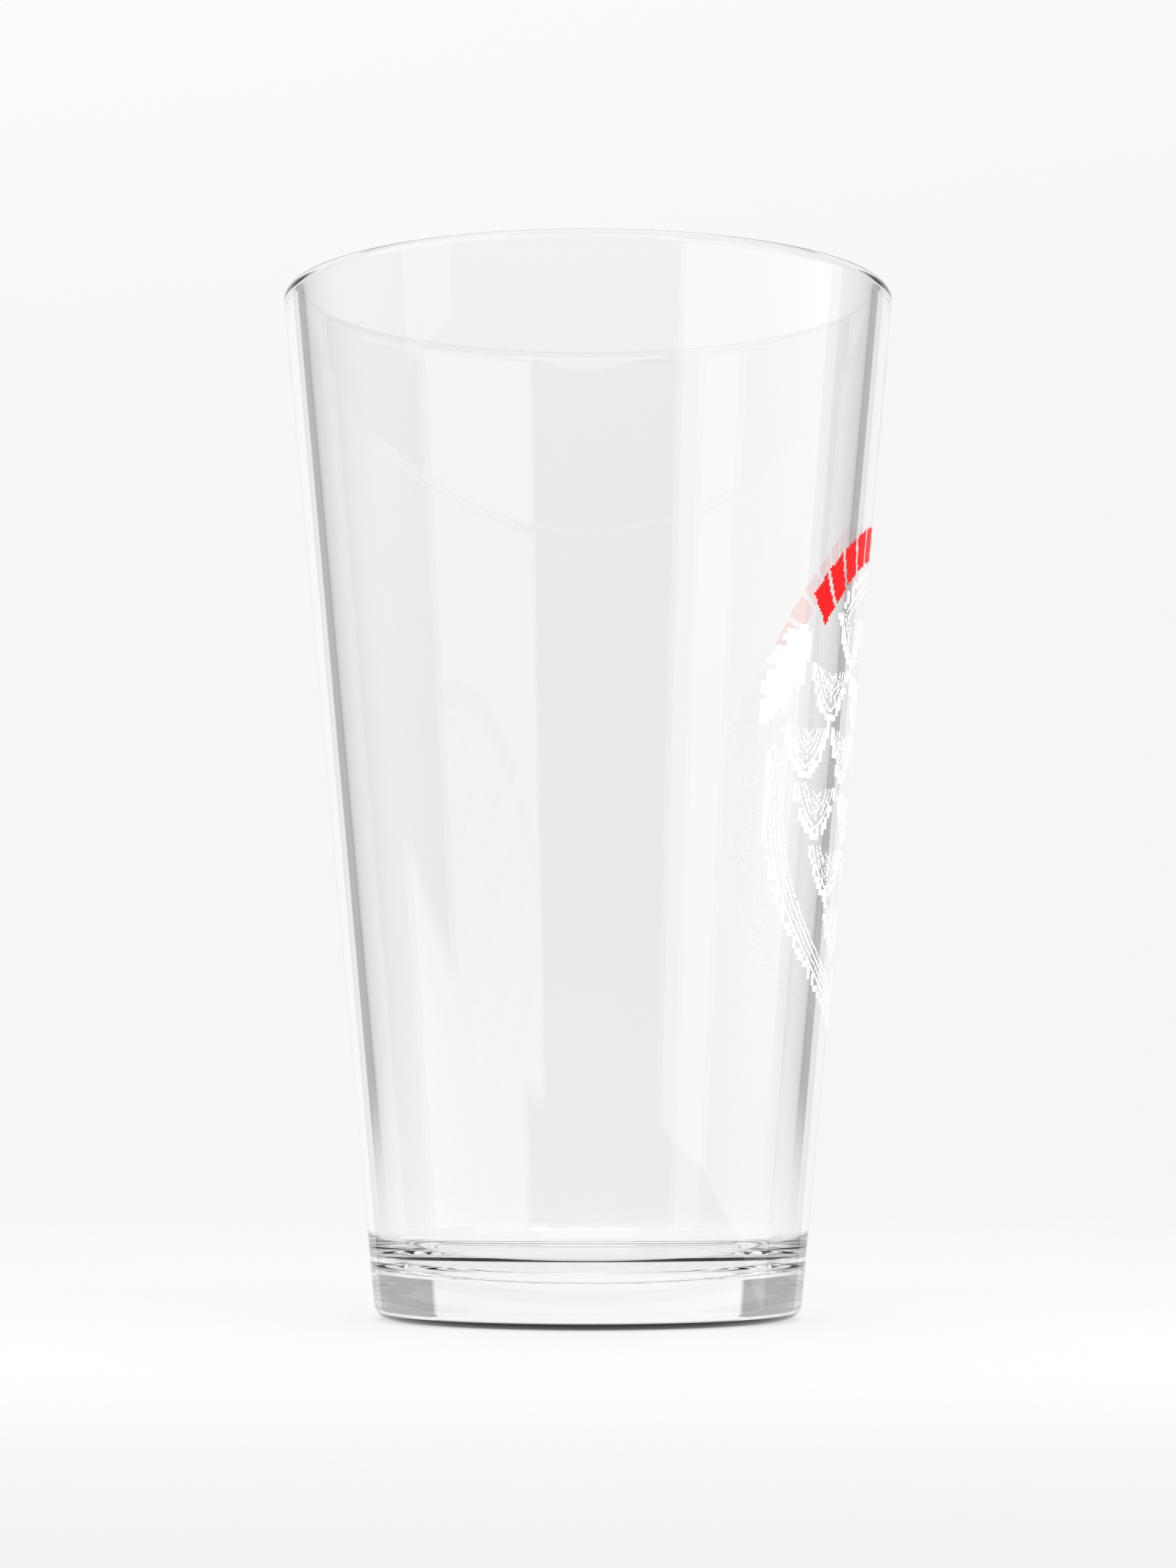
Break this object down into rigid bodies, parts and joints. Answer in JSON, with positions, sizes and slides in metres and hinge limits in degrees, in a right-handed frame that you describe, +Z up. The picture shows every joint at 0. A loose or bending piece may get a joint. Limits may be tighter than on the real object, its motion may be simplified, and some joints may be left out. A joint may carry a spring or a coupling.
{
  "type": "pint glass",
  "caption": "Tapered straight-sided drinking glass with a thick base, a rounded rim and a screen-printed hop cone under a red arc on one side.",
  "frame": {"origin": "centre of the base, at the height of the surface that the glass stands on", "axes": "+Z up along the glass's axis, +X towards the middle of the print, +Y to the right of the print seen from outside"},
  "size_m": [0.0886, 0.0886, 0.1482],
  "materials": {
    "clear_glass": "clear colourless soda-lime glass, pressed and fire-polished, smooth and glossy",
    "red_ink": "opaque red screen-printing ink, cured on the glass, low gloss",
    "white_ink": "opaque white screen-printing ink, cured on the glass, low gloss"
  },
  "bodies": {
    "root": {"glass_body": "clear_glass", "hop_bract_row1_1": "white_ink", "hop_bract_row2_1": "white_ink", "hop_bract_row2_2": "white_ink", "hop_bract_row3_1": "white_ink", "hop_bract_row3_2": "white_ink", "hop_bract_row3_3": "white_ink", "hop_bract_row4_1": "white_ink", "hop_bract_row4_2": "white_ink", "hop_bract_row4_3": "white_ink", "hop_bract_row4_4": "white_ink", "hop_bract_row5_1": "white_ink", "hop_bract_row5_2": "white_ink", "hop_bract_row5_3": "white_ink", "hop_bract_row5_4": "white_ink", "hop_bract_row5_5": "white_ink", "hop_bract_row6_1": "white_ink", "hop_bract_row6_2": "white_ink", "hop_bract_row6_3": "white_ink", "hop_bract_row6_4": "white_ink", "hop_bract_row7_1": "white_ink", "hop_bract_row7_2": "white_ink", "hop_bract_row7_3": "white_ink", "hop_leaf_left": "white_ink", "hop_leaf_right": "white_ink", "hop_outline_left": "white_ink", "hop_outline_right": "white_ink", "hop_rib_row2_1": "white_ink", "hop_rib_row2_2": "white_ink", "hop_rib_row3_1": "white_ink", "hop_rib_row3_2": "white_ink", "hop_rib_row3_3": "white_ink", "hop_rib_row4_1": "white_ink", "hop_rib_row4_2": "white_ink", "hop_rib_row4_3": "white_ink", "hop_rib_row4_4": "white_ink", "hop_rib_row5_1": "white_ink", "hop_rib_row5_2": "white_ink", "hop_rib_row5_3": "white_ink", "hop_rib_row5_4": "white_ink", "hop_rib_row5_5": "white_ink", "hop_rib_row6_1": "white_ink", "hop_rib_row6_2": "white_ink", "hop_rib_row6_3": "white_ink", "hop_rib_row6_4": "white_ink", "hop_stem": "white_ink", "red_arc_block_01": "red_ink", "red_arc_block_02": "red_ink", "red_arc_block_03": "red_ink", "red_arc_block_04": "red_ink", "red_arc_block_05": "red_ink", "red_arc_block_06": "red_ink", "red_arc_block_07": "red_ink", "red_arc_block_08": "red_ink", "red_arc_block_09": "red_ink", "red_arc_block_10": "red_ink", "red_arc_block_11": "red_ink", "red_arc_block_12": "red_ink"}
  },
  "joints": []
}
